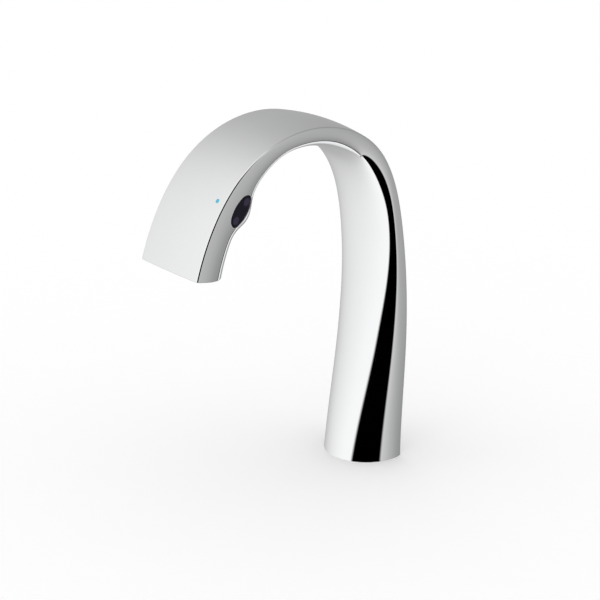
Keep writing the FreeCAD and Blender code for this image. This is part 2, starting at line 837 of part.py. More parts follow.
def make_lead():
    begin = -val("window_half_length") + val("saddle_length") - val("lead_radius") - val("wall")
    route = [sensor_frame.multVec(Vector(begin, 0, lead_depth())),
             sensor_frame.multVec(Vector(-val("window_half_length") - val("lead_straight"), 0, lead_depth()))]
    route += inner_route(LEAD_SHARES, route[1].x, val("lead_side"))
    tail = shank_end - val("plug_flange") - val("grommet_lip")
    route += [Vector(val("lead_side"), 0, val("entry_height")), Vector(val("lead_side"), 0, tail)]
    wire, radii = rounded_path(route)
    print("sensor lead radii", [round(radius) for radius in radii])
    plain("sensor_lead", pipe(wire, val("lead_radius")))


TUBE_SHARES = (0.84, 0.73, 0.62, 0.51, 0.40, 0.29, 0.16)
LEAD_SHARES = (0.74, 0.65, 0.56, 0.47, 0.38, 0.27, 0.16)


# ---------------------------------------------------------------- foot and fixings

def make_shank():
    flange = core(val("wall") + val("foot_gap")).common(slab(DECK, val("flange_base"), flange_top))
    chamfer = val("shank_chamfer")
    stem = cylinder(DECK, val("shank_radius"), shank_end + chamfer, flange_top)
    lead_in = Part.makeCone(val("shank_radius") - chamfer, val("shank_radius"), chamfer, Vector(0, 0, shank_end))
    cuts = [cylinder(DECK, val("shank_bore"), shank_end - 1, flange_top + 1)]
    for side in SIDES:
        place = side * val("foot_lug_side")
        cuts.append(cylinder(DECK, val("foot_screw_radius") + val("slip_gap"), 0, flange_top + 1,
                             place, val("foot_lug_back")))
        cuts.append(cylinder(DECK, val("foot_head_radius") + val("slip_gap"), 0,
                             val("flange_base") + val("foot_head_height"), place, val("foot_lug_back")))
    plain("mounting_shank", less(joined([flange, stem, lead_in]), cuts))

    seal = core(val("wall") + val("foot_gap")).common(slab(DECK, -1, val("flange_base")))
    hole = cylinder(DECK, val("shank_radius") + val("small_gap"), -1, flange_top)
    plain("base_gasket", seal.cut(hole))

    places = [side * val("foot_lug_side") for side in SIDES]
    screws("foot_screws", DECK, places, val("flange_base"),
           (val("foot_head_radius"), val("foot_head_height")),
           (val("foot_screw_radius") - val("slip_gap"), val("foot_screw_length") - val("foot_head_height")),
           val("foot_lug_back"))


def make_shank_plug():
    """Plug in the shank's end, with the lead's grommet and the stem that feeds the tube."""
    end = -size("shank_length")
    low = end - size("plug_flange")
    outer = size("shank_bore") - size("slip_gap")
    plug = turned("shank_plug", [(ZERO, low), (size("plug_flange_radius"), low),
                                 (size("plug_flange_radius"), end), (outer, end),
                                 (outer, end + size("plug_depth")), (ZERO, end + size("plug_depth"))])
    drilled(plug, "shank_plug_holes", [
        (-size("tube_side"), ZERO, size("tube_radius") + size("slip_gap")),
        (size("lead_side"), ZERO, size("grommet_radius") + size("slip_gap")),
    ])
    hole = size("lead_radius") + size("slip_gap")
    grommet = turned("cable_grommet", [
        (hole, low - size("grommet_lip")), (size("grommet_collar"), low - size("grommet_lip")),
        (size("grommet_collar"), low), (size("grommet_radius"), low),
        (size("grommet_radius"), end + size("plug_depth")), (hole, end + size("plug_depth"))])
    grommet.Placement = Placement(Vector(val("lead_side"), 0, 0), Rotation())

    bore = size("tube_bore")
    socket = size("tube_radius") + size("slip_gap")
    stem = turned("inlet_stem", [
        (bore, low - size("stem_length")), (size("stem_radius"), low - size("stem_length")),
        (size("stem_radius"), low - size("stem_collar")), (size("stem_collar_radius"), low - size("stem_collar")),
        (size("stem_collar_radius"), low), (socket, low),
        (socket, low - size("stem_socket")), (bore, low - size("stem_socket"))])
    stem.Placement = Placement(Vector(-val("tube_side"), 0, 0), Rotation())


def make_fixings():
    under = -size("deck_thickness")
    hole = size("shank_radius") + size("washer_gap")
    middle = under - size("rubber_thickness")
    seat = middle - size("steel_thickness")
    turned("rubber_washer", ring_outline(hole, size("washer_radius"), middle, under))
    turned("steel_washer", ring_outline(hole, size("washer_radius"), seat, middle))

    nut = new_body("clamp_nut")
    bottom = seat - size("nut_height")
    collar = new_sketch(nut, "clamp_nut_collar", "XZ")
    bore = size("shank_radius") + size("thread_gap")
    draw_outline(collar, ring_outline(bore, size("nut_collar_radius"), seat - size("nut_collar_height"), seat))
    turn = nut.newObject("PartDesign::Revolution", "clamp_nut_turn")
    turn.Profile = collar
    turn.ReferenceAxis = (collar, ["V_Axis"])
    turn.Angle = 360.0
    hexagon = new_sketch(nut, "clamp_nut_flats", "XY")
    hexagon.setExpression(".AttachmentOffset.Base.z", (seat - size("nut_collar_height")).text)
    flat = size("nut_across_flats") / 2
    draw_outline(hexagon, [(flat * x, flat * y) for x, y in HEXAGON])
    draw_circle(hexagon, ZERO, ZERO, bore)
    pad = nut.newObject("PartDesign::Pad", "clamp_nut_body")
    pad.Profile = hexagon
    pad.setExpression("Length", (size("nut_height") - size("nut_collar_height")).text)
    pad.Reversed = True


make_spout_body()
make_window()
make_housing()
make_diodes()
make_board()
make_sensor_screws()
make_status_light()
make_outlet_plate()
make_aerator()
make_tube()
make_lead()
make_shank()
make_shank_plug()
make_fixings()
doc.recompute()


# ---------------------------------------------------------------- checks and export

parts = [item for item in doc.Objects
         if item.TypeId == "PartDesign::Body" or item.TypeId == "Part::Feature"]
for item in doc.Objects:
    if "Invalid" in item.State or "Error" in item.State:
        raise ValueError(item.Label + " failed to rebuild")
for part in parts:
    if part.Shape.isNull() or not part.Shape.isValid() or not part.Shape.Solids:
        raise ValueError(part.Label + " has no sound solid")

os.makedirs("parts", exist_ok=True)
for part in parts:
    part.Shape.exportStep(os.path.join("parts", part.Label + ".step"))
print(len(parts), "parts written")
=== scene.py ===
import json
import math

import bmesh
import bpy
import numpy as np
from mathutils import Matrix, Vector
from mathutils.bvhtree import BVHTree

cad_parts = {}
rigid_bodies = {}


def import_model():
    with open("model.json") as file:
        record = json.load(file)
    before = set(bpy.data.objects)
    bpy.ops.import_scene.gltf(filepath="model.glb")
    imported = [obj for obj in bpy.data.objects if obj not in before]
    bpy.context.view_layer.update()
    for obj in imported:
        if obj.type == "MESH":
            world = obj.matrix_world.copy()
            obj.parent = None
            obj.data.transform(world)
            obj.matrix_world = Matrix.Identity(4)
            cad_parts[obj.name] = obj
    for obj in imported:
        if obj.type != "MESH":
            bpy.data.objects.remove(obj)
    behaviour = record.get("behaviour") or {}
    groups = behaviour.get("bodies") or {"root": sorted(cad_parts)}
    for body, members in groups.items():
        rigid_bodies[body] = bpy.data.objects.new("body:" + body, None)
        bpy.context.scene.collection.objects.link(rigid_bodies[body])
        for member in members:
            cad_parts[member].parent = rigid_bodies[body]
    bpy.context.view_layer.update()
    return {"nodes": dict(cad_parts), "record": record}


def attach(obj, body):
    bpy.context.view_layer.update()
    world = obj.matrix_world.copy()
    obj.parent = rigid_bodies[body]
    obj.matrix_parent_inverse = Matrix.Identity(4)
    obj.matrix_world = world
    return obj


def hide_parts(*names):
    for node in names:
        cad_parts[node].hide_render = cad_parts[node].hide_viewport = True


# Looks of a deck-mounted sensor tap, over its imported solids. Sizes below are in
# millimetres in the shared frame; MM turns them into metres.

MM = 0.001
for item in list(bpy.data.objects):
    bpy.data.objects.remove(item)
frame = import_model()
nodes = frame["nodes"]


# ---------------------------------------------------------------- sizes of the ribbon

# Outer edge line seen from the side, as (y, z), and the lean of its two ends
EDGE = ((17.3, 0.0), (20.3, 76.0), (15.8, 148.4), (-6.1, 204.9), (-51.0, 224.0), (-101.4, 209.2),
        (-139.8, 148.6))
TIP_LEAN = math.radians(16.3)
OUTLET_TILT = math.radians(6.0)
TILT_START = 0.86

# Laws along the edge line, from foot to tip
SHARE = (0.0, 0.20, 0.42, 0.52, 0.62, 0.72, 0.86, 1.0)
DEPTH = (34.3, 22.8, 12.7, 14.0, 15.0, 13.9, 23.9, 28.6)
STRAIGHT = (8.3, 7.0, 5.0, 3.0, 3.0, 3.0, 6.0, 6.0)
FULLNESS = (2.0, 2.15, 2.2, 2.6, 2.35, 2.8, 2.4, 2.2)
CROWN = (0.6, 0.6, 1.0, 1.5, 2.0, 1.0, 0.8, 0.8)

HALF_WIDTH = (24.7, 27.5)
BELLY = (1.3, 0.2)
EDGE_RADIUS = 1.1
RIM_ROUND = 0.7
WALL = 2.2
SWELL = 7.5
SWELL_PLACE = 0.87
SWELL_LENGTH = 13.0
SWELL_POWER = 2.3

# Window, sensor pad and status light; the glass and the light's dome are given as (share of the
# outline, fall of the surface), and the lens edge as shares of the lens radius
WINDOW_DEPTH = 17.0
WINDOW_LENGTH = 10.2
WINDOW_HEIGHT = 7.1
WINDOW_END = 5.4
WINDOW_GAP = 0.15
WINDOW_RECESS = 0.12
WINDOW_SHIFT = (0.4, -2.6)
WINDOW_TILT = math.radians(7.5)
WINDOW_LEVEL = -0.95
FACE_HEIGHT = 6.2
WINDOW_PLUG = -3.5
PLUG_LAP = 0.5
GLASS_RINGS = ((1.0, 0.3), (0.985, 0.08), (0.96, 0.0), (0.8, 0.0), (0.6, 0.0), (0.3, 0.0), (0.01, 0.0))
RIM_RADIUS = 0.55
PAD_LEVEL = -5.0
PAD_MARGIN = 3.0
FLANGE_MARGIN = 1.2
FLANGE_LEVELS = (-6.7, -5.5)
HOUSING_MARGIN = 2.5
EAR_PLACE = 14.6
EAR_RADIUS = 2.9
SENSOR_SCREW = {"head": (1.8, 1.4), "shaft": (1.05, 3.9), "low": -8.9}
LENS_SPACING = 12.4
LENS_RADIUS = 2.5
LENS_EDGE = (1.08, 0.82)
LIGHT_SIDE = 20.3
LIGHT_ALONG = 2.5
LIGHT_RADIUS = 1.25
LIGHT_LENGTH = 4.0
LIGHT_DOME = ((1.0, 0.12), (0.9, 0.03), (0.6, 0.0), (0.3, 0.0), (0.01, 0.0))

# Outlet, in a frame with Z along the jet
OUTLET_CENTRE = 15.5
OUTLET_PLATE = 4.0
OUTLET_LUG = {"side": 19.5, "shift": 4.0, "radius": 3.6, "length": 9.0}
OUTLET_SCREW = {"head": (2.9, 1.8), "shaft": (1.45, 8.2)}

# Foot and fixings
FLANGE_BASE = 2.0
FLANGE_TOP = 8.0
FOOT_GAP = 0.15
FOOT_LUG = {"side": 18.0, "back": 4.0, "half": 4.2, "height": 13.0}
FOOT_SCREW = {"head": (3.5, 4.0), "shaft": (1.95, 10.0)}
SHANK_RADIUS = 12.0
SHANK_BORE = 9.25
SHANK_END = -75.0
THREAD_PITCH = 2.0
THREAD_DEPTH = 1.1
THREAD_STEPS = 8
THREAD_FLANK = 1.15
SHANK_CHAMFER = 1.0
CHAMFER_SLOPE = 0.8
NUT = {"flat": 17.0, "bore": 12.06, "collar": 18.5, "collar_height": 1.6, "top": -25.0, "height": 8.0,
       "corner_in": 0.4, "corner_fall": 1.6, "collar_round": 0.3, "collar_lap": 0.2, "chamfer": 0.8}

# Screws, as shares of the head
SCREW_BEVEL = 0.08
SOCKET_SIZE = 0.45
SOCKET_DEPTH = 0.6

# Steps of the meshes
SECTIONS = 260
SPLINE_STEPS = 400
RIM_STEPS = 6
LIP_STEPS = 8
THREAD_COUNT = 72
FACE_STEPS = 20
ROUND_STEPS = 6
SIDE_STEPS = 5
BACK_STEPS = 22

# Small distances of the work, and shares
FAR = 100.0
APART = 0.02  # keeps the faces of two cutting solids out of one plane
BEYOND = 5.0  # run of the hollow past both ends of the ribbon
LAP = 1.0  # overlap of two solids that are joined
SLIP_GAP = 0.05  # around screws and the light pipe
BORE_END = 2.0  # metal left past a blind bore
AXIS = 1e-3  # radius that stands for a point on an axis
ROUND_POLE = 0.5523  # pole distance of a quarter circle, as a share of its radius


# ---------------------------------------------------------------- path and sections

def clamped_spline(points, start, end):
    """Smooth curve through points with given end directions, as points, headings and lengths."""
    points = np.array(points, float)
    steps = np.linalg.norm(np.diff(points, axis=0), axis=1)
    count = len(points)
    system = np.eye(count)
    right = np.zeros((count, 2))
    right[0] = start
    right[-1] = end
    for i in range(1, count - 1):
        before, after = steps[i - 1], steps[i]
        system[i, i - 1] = 1 / before
        system[i, i] = 2 / before + 2 / after
        system[i, i + 1] = 1 / after
        rise = (points[i] - points[i - 1]) / before ** 2 + (points[i + 1] - points[i]) / after ** 2
        right[i] = 3 * rise
    slope = np.linalg.solve(system, right)
    samples = []
    headings = []
    for i in range(count - 1):
        t = np.linspace(0, 1, SPLINE_STEPS, endpoint=i == count - 2)[:, None]
        a, b = points[i], points[i + 1]
        ma, mb = slope[i] * steps[i], slope[i + 1] * steps[i]
        samples.append((2 * t ** 3 - 3 * t ** 2 + 1) * a + (t ** 3 - 2 * t ** 2 + t) * ma
                       + (3 * t ** 2 - 2 * t ** 3) * b + (t ** 3 - t ** 2) * mb)
        headings.append((6 * t ** 2 - 6 * t) * a + (3 * t ** 2 - 4 * t + 1) * ma
                        + (6 * t - 6 * t ** 2) * b + (3 * t ** 2 - 2 * t) * mb)
    samples = np.vstack(samples)
    headings = np.vstack(headings)
    headings /= np.linalg.norm(headings, axis=1)[:, None]
    lengths = np.concatenate([[0], np.cumsum(np.linalg.norm(np.diff(samples, axis=0), axis=1))])
    return samples, headings, lengths


path_points, path_headings, path_lengths = clamped_spline(
    EDGE, (0.0, 1.0), (-math.sin(TIP_LEAN), -math.cos(TIP_LEAN)))
PATH_LENGTH = path_lengths[-1]


def law(values, share):
    """Value between the stations, smooth and without overshoot."""
    xs = SHARE
    rates = [(values[i + 1] - values[i]) / (xs[i + 1] - xs[i]) for i in range(len(xs) - 1)]
    slopes = [rates[0]]
    for left, right in zip(rates, rates[1:]):
        slopes.append(0.0 if left * right <= 0 else 2 * left * right / (left + right))
    slopes.append(rates[-1])
    i = max(k for k in range(len(xs) - 1) if share >= xs[k] or k == 0)
    span = xs[i + 1] - xs[i]
    k = (share - xs[i]) / span
    bend = k * k * (3 - 2 * k)
    lift = k * (1 - k) ** 2 * slopes[i] - k * k * (1 - k) * slopes[i + 1]
    return values[i] + (values[i + 1] - values[i]) * bend + lift * span


def bezier(poles, steps):
    """Points of a Bezier piece, its last point left to the next piece."""
    t = np.linspace(0, 1, steps, endpoint=False)[:, None]
    poles = [np.array(pole, float) for pole in poles]
    degree = len(poles) - 1
    return sum(math.comb(degree, i) * (1 - t) ** (degree - i) * t ** i * pole
               for i, pole in enumerate(poles))


class Section:
    """The ribbon's frame and outline at a share of its path, drawn in by an inset."""

    def __init__(self, share, inset=0.0):
        place = share * PATH_LENGTH
        y = np.interp(place, path_lengths, path_points[:, 0])
        z = np.interp(place, path_lengths, path_points[:, 1])
        heading_y = np.interp(place, path_lengths, path_headings[:, 0])
        heading_z = np.interp(place, path_lengths, path_headings[:, 1])
        turn = max(0.0, (share - TILT_START) / (1 - TILT_START))
        tilt = OUTLET_TILT * turn * turn * (3 - 2 * turn)
        self.point = Vector((0, y, z))
        self.along = Matrix.Rotation(tilt, 3, "X") @ Vector((0, heading_y, heading_z)).normalized()
        self.inward = Vector((1, 0, 0)).cross(self.along)
        swell = SWELL * math.exp(-abs((share - SWELL_PLACE) * PATH_LENGTH / SWELL_LENGTH) ** SWELL_POWER)
        width = HALF_WIDTH[0] + (HALF_WIDTH[1] - HALF_WIDTH[0]) * share
        near_foot = max(0.0, 1 - share / SHARE[2]) ** 2
        self.half = width - inset
        self.widest = width + BELLY[1] + (BELLY[0] - BELLY[1]) * near_foot - inset
        self.low = inset
        self.high = law(DEPTH, share) + swell - inset
        self.knee = self.low + max(law(STRAIGHT, share) - inset, EDGE_RADIUS * 2)
        self.fullness = law(FULLNESS, share)
        self.crown = law(CROWN, share)

    def place(self, across, depth):
        return self.point + Vector((across, 0, 0)) + self.inward * depth

    def reach(self, depth):
        """Half width of the rounded back at a depth past the straight sides."""
        rise = (depth - self.knee) / (self.high - self.knee)
        return self.widest * (1 - rise ** self.fullness) ** (1 / self.fullness)

    def outline(self):
        """Outer outline as (across, depth) pairs, from the left end of the face."""
        radius = EDGE_RADIUS
        bulge = radius * (1 - ROUND_POLE)
        shoulder = self.low + radius
        pull = (8 * 0.5 ** (1 / self.fullness) - 4) / 3
        face = [(-self.half + radius, self.low), (0, self.low - 2 * self.crown),
                (self.half - radius, self.low)]
        turn = [(self.half - radius, self.low), (self.half - bulge, self.low),
                (self.half, self.low + bulge), (self.half, shoulder)]
        side = [(self.half, shoulder), (self.widest, (shoulder + self.knee) / 2), (self.widest, self.knee)]
        back = [(self.widest, self.knee), (self.widest, self.knee + pull * (self.high - self.knee)),
                (pull * self.widest, self.high), (0, self.high)]
        pieces = [(face, FACE_STEPS), (turn, ROUND_STEPS), (side, SIDE_STEPS), (back, BACK_STEPS)]
        pieces += [([(-x, d) for x, d in reversed(poles)], steps) for poles, steps in reversed(pieces[1:])]
        return np.vstack([bezier(poles, steps) for poles, steps in pieces])

    def cavity(self):
        """Cornered outline of the cast hollow as (across, depth) pairs."""
        power = 2 / self.fullness
        half = [(self.widest, self.low), (self.widest, self.knee)]
        for degrees in (22, 52):
            angle = math.radians(degrees)
            half.append((self.widest * math.cos(angle) ** power,
                         self.knee + (self.high - self.knee) * math.sin(angle) ** power))
        return half + [(0.0, self.high)] + [(-x, d) for x, d in reversed(half)]


# ---------------------------------------------------------------- mesh helpers

def new_object(name, vertices, faces, placement=None, smooth=True):
    """Mesh object from vertices in millimetres, in a placement's own coordinates if one is given."""
    mesh = bpy.data.meshes.new(name)
    mesh.from_pydata([tuple(MM * c for c in vertex) for vertex in vertices], [], faces)
    mesh.validate()
    if smooth:
        mesh.shade_smooth()
    item = bpy.data.objects.new(name, mesh)
    bpy.context.scene.collection.objects.link(item)
    if placement is not None:
        item.matrix_world = Matrix.Translation(placement.translation * MM) @ placement.to_3x3().to_4x4()
    return outward(item)


def outward(item):
    """Turn all faces of a closed mesh to face out."""
    work = bmesh.new()
    work.from_mesh(item.data)
    bmesh.ops.recalc_face_normals(work, faces=work.faces)
    work.to_mesh(item.data)
    work.free()
    return item


def stacked(name, rings, placement=None, smooth=True, closed=False):
    """Solid over rings of equally many points; closed joins the last ring to the first."""
    count = len(rings[0])
    rows = len(rings)
    faces = []
    for row in range(rows if closed else rows - 1):
        here, above = row * count, (row + 1) % rows * count
        for i in range(count):
            j = (i + 1) % count
            faces.append((here + i, here + j, above + j, above + i))
    if not closed:
        faces.append(tuple(reversed(range(count))))
        faces.append(tuple(range((rows - 1) * count, rows * count)))
    vertices = [point for ring in rings for point in ring]
    return new_object(name, vertices, faces, placement, smooth)


def loft(name, shares, outline, beyond=0.0):
    """Solid through the outlines of the ribbon's sections, running on past both ends."""
    rings = []
    for share in shares:
        section, pairs = outline(share)
        rings.append([section.place(x, d) for x, d in pairs])
    if beyond:
        rings.insert(0, [point - Section(shares[0]).along * beyond for point in rings[0]])
        rings.append([point + Section(shares[-1]).along * beyond for point in rings[-1]])
    return stacked(name, rings)


def prism(name, placement, outline, low, high):
    """Straight solid over an outline, from a low to a high place along local Z."""
    rings = [[placement @ Vector((x, y, level)) for x, y in outline] for level in (low, high)]
    return stacked(name, rings, smooth=False)


def circle(radius, count=48, across=0.0, up=0.0):
    angles = np.linspace(0, 2 * math.pi, count, endpoint=False)
    return [(across + radius * math.cos(a), up + radius * math.sin(a)) for a in angles]


def rectangle(low, high):
    return [(low[0], low[1]), (high[0], low[1]), (high[0], high[1]), (low[0], high[1])]


def hexagon(flat):
    return [(flat / math.cos(math.pi / 6) * math.cos(math.pi / 3 * i),
             flat / math.cos(math.pi / 6) * math.sin(math.pi / 3 * i)) for i in range(6)]


def turned(name, profile, count=96):
    """Solid turned about Z from a closed loop of (radius, height) corners."""
    rings = [[(x, y, height) for x, y in circle(radius, count)] for radius, height in profile]
    item = stacked(name, rings, closed=True)
    sharpen(item)
    return item


def sharpen(item, degrees=32):
    """Keep corners steeper than an angle sharp on a smooth mesh."""
    item.data.set_sharp_from_angle(angle=math.radians(degrees))


def window_outline(margin, height=WINDOW_HEIGHT, count=24):
    """The window's oval of four arcs, grown by a margin."""
    run = WINDOW_LENGTH - WINDOW_END
    flat = (run ** 2 + height ** 2 - WINDOW_END ** 2) / (2 * (height - WINDOW_END))
    half = math.atan2(flat - height, run)
    points = []
    for centre_x, centre_y, radius, start, end in (
            (run, 0, WINDOW_END, -half, half),
            (0, height - flat, flat, half, math.pi - half),
            (-run, 0, WINDOW_END, math.pi - half, math.pi + half),
            (0, flat - height, flat, math.pi + half, 2 * math.pi - half)):
        for angle in np.linspace(start, end, count, endpoint=False):
            points.append((centre_x + (radius + margin) * math.cos(angle),
                           centre_y + (radius + margin) * math.sin(angle)))
    return points


def combine(item, tool, operation):
    """Apply a boolean of one mesh with another, and drop the tool."""
    step = item.modifiers.new("combine", "BOOLEAN")
    step.operation = operation
    step.solver = "EXACT"
    step.object = tool
    bpy.context.view_layer.update()
    made = bpy.data.meshes.new_from_object(item.evaluated_get(bpy.context.evaluated_depsgraph_get()))
    item.modifiers.clear()
    item.data = made
    bpy.data.objects.remove(tool)
    return item


def placement_of(origin, x_axis, z_axis):
    """Placement in millimetres whose X and Z point along two axes."""
    y_axis = z_axis.cross(x_axis)
    turn = Matrix((x_axis, y_axis, z_axis)).transposed().to_4x4()
    return Matrix.Translation(origin) @ turn


# ---------------------------------------------------------------- the ribbon's skin

RIM_START = 1 - RIM_ROUND / PATH_LENGTH
RIM_SINES = [math.sin(math.pi / 2 * step / RIM_STEPS) for step in range(1, RIM_STEPS + 1)]
SHARES = [RIM_START * index / SECTIONS for index in range(SECTIONS + 1)]
SHARES += [1 - (1 - sine) * (1 - RIM_START) for sine in RIM_SINES]


def skin_outline(share):
    """Outer outline, drawn in over the last stretch to round the rim of the outlet."""
    left = max(0.0, 1 - (1 - share) * PATH_LENGTH / RIM_ROUND)
    section = Section(share, RIM_ROUND * (1 - math.sqrt(1 - min(left, 1.0) ** 2)))
    return section, section.outline()


def middle_outline(share):
    """Outline in the middle of the wall, where the inner ribs end."""
    section = Section(share, WALL / 2)
    return section, section.outline()


def hollow_outline(share):
    section = Section(share, WALL)
    return section, section.cavity()


class Skin:
    """The ribbon's smooth outer surface, for heights and shading normals."""

    def __init__(self):
        self.item = loft("spout_shell", SHARES, skin_outline)
        self.points = [vertex.co.copy() for vertex in self.item.data.vertices]
        self.quads = [tuple(face.vertices) for face in self.item.data.polygons if len(face.vertices) == 4]
        self.tree = BVHTree.FromPolygons(self.points, self.quads)
        self.normals = [Vector() for _ in self.points]
        for quad in self.quads:
            a, b, c, d = (self.points[i] for i in quad)
            across = (c - a).cross(d - b)
            for i in quad:
                self.normals[i] += across
        for normal in self.normals:
            normal.normalize()

    def normal_at(self, index, spot):
        """Normal at a spot of one quad, blended from the quad's corners."""
        total = Vector()
        for i in self.quads[index]:
            total += self.normals[i] / max((self.points[i] - spot).length_squared, 1e-12)
        return total.normalized()

    def height(self, placement, x, y):
        """Local height of the skin over a place of a frame, looking back along its Z."""
        start = placement @ Vector((x, y, FAR / 4)) * MM
        spot, _, _, _ = self.tree.ray_cast(start, -(placement.to_3x3() @ Vector((0, 0, 1))))
        return (placement.inverted() @ (spot / MM)).z

    def shade(self, item, tolerance=0.02, agreement=0.8):
        """Give the faces that lie on the skin its own smooth normals."""
        mesh = item.data
        normals = []
        for face in mesh.polygons:
            face.use_smooth = True
            for loop in face.loop_indices:
                spot = mesh.vertices[mesh.loops[loop].vertex_index].co
                near, _, index, away = self.tree.find_nearest(spot)
                fine = self.normal_at(index, near)
                on_skin = away < tolerance * MM and fine.dot(face.normal) > agreement
                normals.append(fine if on_skin else face.normal.copy())
        mesh.normals_split_custom_set(normals)


skin = Skin()

# Local frames: the sensor's and the window's Z point out of the window, the outlet's along
# the jet, the light's into the ribbon, the deck's up
SIDE = Vector((1, 0, 0))
nose = Section(SWELL_PLACE)
probe = 0.05
drop = nose.reach(WINDOW_DEPTH - probe) - nose.reach(WINDOW_DEPTH + probe)
window_out = (SIDE + nose.inward * (drop / (2 * probe))).normalized()
sensor_frame = placement_of(nose.place(nose.reach(WINDOW_DEPTH), WINDOW_DEPTH), nose.along, window_out)
tip = Section(1.0)
outlet_frame = placement_of(tip.place(0, OUTLET_CENTRE), SIDE, tip.along)
window_frame = (sensor_frame @ Matrix.Translation((*WINDOW_SHIFT, 0)) @ Matrix.Rotation(WINDOW_TILT, 4, "X")
                @ Matrix.Translation((0, 0, WINDOW_LEVEL)))
light_place = Section(SWELL_PLACE + LIGHT_ALONG / PATH_LENGTH)
light_frame = placement_of(light_place.place(LIGHT_SIDE, 0), light_place.along, light_place.inward)
DECK = Matrix()
SIDES = (-1, 1)


# ---------------------------------------------------------------- pieces

def sensor_ear(side):
    """Round ear on the pad for one of the sensor's screws, and the room behind it."""
    ear = circle(EAR_RADIUS, across=side * EAR_PLACE)
    room = circle(EAR_RADIUS + APART, across=side * EAR_PLACE)
    return ([prism("ear", sensor_frame, ear, PAD_LEVEL - APART, FAR / 8)],
            [prism("ear_room", sensor_frame, room, -FAR / 4 - APART * side, PAD_LEVEL + 2 * APART)])


def foot_lug(side):
    """Square lug at the foot, and its blind bore."""
    back, half, height = FOOT_LUG["back"], FOOT_LUG["half"], FOOT_LUG["height"]
    inner, outer = sorted((side * (FOOT_LUG["side"] - half), side * FAR / 2))
    lug = rectangle((inner, back - half), (outer, back + half))
    bore = circle(FOOT_SCREW["shaft"][0] + SLIP_GAP, across=side * FOOT_LUG["side"], up=back)
    return ([prism("foot_lug", DECK, lug, FLANGE_TOP, FLANGE_TOP + height)],
            [prism("foot_bore", DECK, bore, FLANGE_BASE, FLANGE_TOP + height - BORE_END)])


def outlet_lug(side):
    """Round lug over the outlet with its web to the side wall, and its blind bore."""
    place, shift = side * OUTLET_LUG["side"], OUTLET_LUG["shift"]
    low = -OUTLET_PLATE - OUTLET_LUG["length"]
    post = circle(OUTLET_LUG["radius"], across=place, up=shift)
    inner, outer = sorted((place, side * FAR / 2))
    web = rectangle((inner, shift - WALL), (outer, shift + WALL))
    bore = circle(OUTLET_SCREW["shaft"][0] + SLIP_GAP, across=place, up=shift)
    return ([prism("outlet_lug", outlet_frame, post, low, -OUTLET_PLATE),
             prism("outlet_web", outlet_frame, web, low, -OUTLET_PLATE)],
            [prism("outlet_bore", outlet_frame, bore, low + BORE_END, 0)])


def make_shell():
    """The cast ribbon with its hollow, window seat, lugs and holes."""
    shell = skin.item
    whole = loft("middle", SHARES[:SECTIONS + 1:2], middle_outline)
    combine(shell, loft("hollow", SHARES[:SECTIONS + 1:4], hollow_outline, BEYOND), "DIFFERENCE")
    opening = window_outline(RIM_RADIUS, FACE_HEIGHT)
    ribs = [prism("pad", sensor_frame, window_outline(PAD_MARGIN), PAD_LEVEL, FAR / 8)]
    cuts = [prism("opening", window_frame, opening, WINDOW_PLUG, FAR / 8),
            prism("seat", sensor_frame, window_outline(0), -FAR / 8, WINDOW_PLUG + APART),
            prism("room", sensor_frame, window_outline(HOUSING_MARGIN), -FAR / 4, PAD_LEVEL + APART),
            prism("light_hole", light_frame, circle(LIGHT_RADIUS + SLIP_GAP), -FAR / 8, FAR / 16)]
    for side in SIDES:
        for make in (sensor_ear, foot_lug, outlet_lug):
            more_ribs, more_cuts = make(side)
            ribs += more_ribs
            cuts += more_cuts
    for rib in ribs:
        limit = whole.copy()
        bpy.context.scene.collection.objects.link(limit)
        combine(shell, combine(rib, limit, "INTERSECT"), "UNION")
    bpy.data.objects.remove(whole)
    for cut in cuts:
        combine(shell, cut, "DIFFERENCE")
    skin.shade(shell)
    return shell


def make_rim():
    """Rounded lip of the window's opening, from the skin down the opening's wall."""
    outer = window_outline(RIM_RADIUS, FACE_HEIGHT)
    heights = [skin.height(window_frame, x, y) for x, y in outer]
    rings = []
    for step in range(LIP_STEPS + 1):
        angle = math.pi / 2 * step / LIP_STEPS
        margin = RIM_RADIUS * (1 - math.sin(angle))
        sink = RIM_RADIUS * (1 - math.cos(angle))
        oval = window_outline(margin, FACE_HEIGHT)
        rings.append([(x, y, height - sink) for (x, y), height in zip(oval, heights)])
    rings.append([(x, y, WINDOW_PLUG) for x, y in window_outline(0, FACE_HEIGHT)])
    rings.append([(x, y, WINDOW_PLUG) for x, y in outer])
    return stacked("window_lip", rings, window_frame, closed=True)


def make_glass():
    """Dark window: a flat face just under the lip, its rounded border, and the flange behind it."""
    face = window_outline(-WINDOW_GAP, FACE_HEIGHT)
    rings = [[(x, y, WINDOW_PLUG - 2 * PLUG_LAP) for x, y in face]]
    for scale, fall in GLASS_RINGS:
        ring = []
        for x, y in face:
            u, v = x * scale, y * scale
            level = min(0.0, skin.height(window_frame, u, v) - WINDOW_RECESS)
            ring.append((u, v, level - fall))
        rings.append(ring)
    glass = stacked("window_glass", rings, window_frame)
    sharpen(glass, 50)
    low, high = FLANGE_LEVELS
    to_window = window_frame.inverted() @ sensor_frame
    profile = ((FLANGE_MARGIN, low), (FLANGE_MARGIN, high), (-WINDOW_GAP, high),
               (-WINDOW_GAP, WINDOW_PLUG - PLUG_LAP))
    flange = [[to_window @ Vector((x, y, level)) for x, y in window_outline(margin)]
              for margin, level in profile]
    return merged(glass, [stacked("flange", flange, window_frame)])


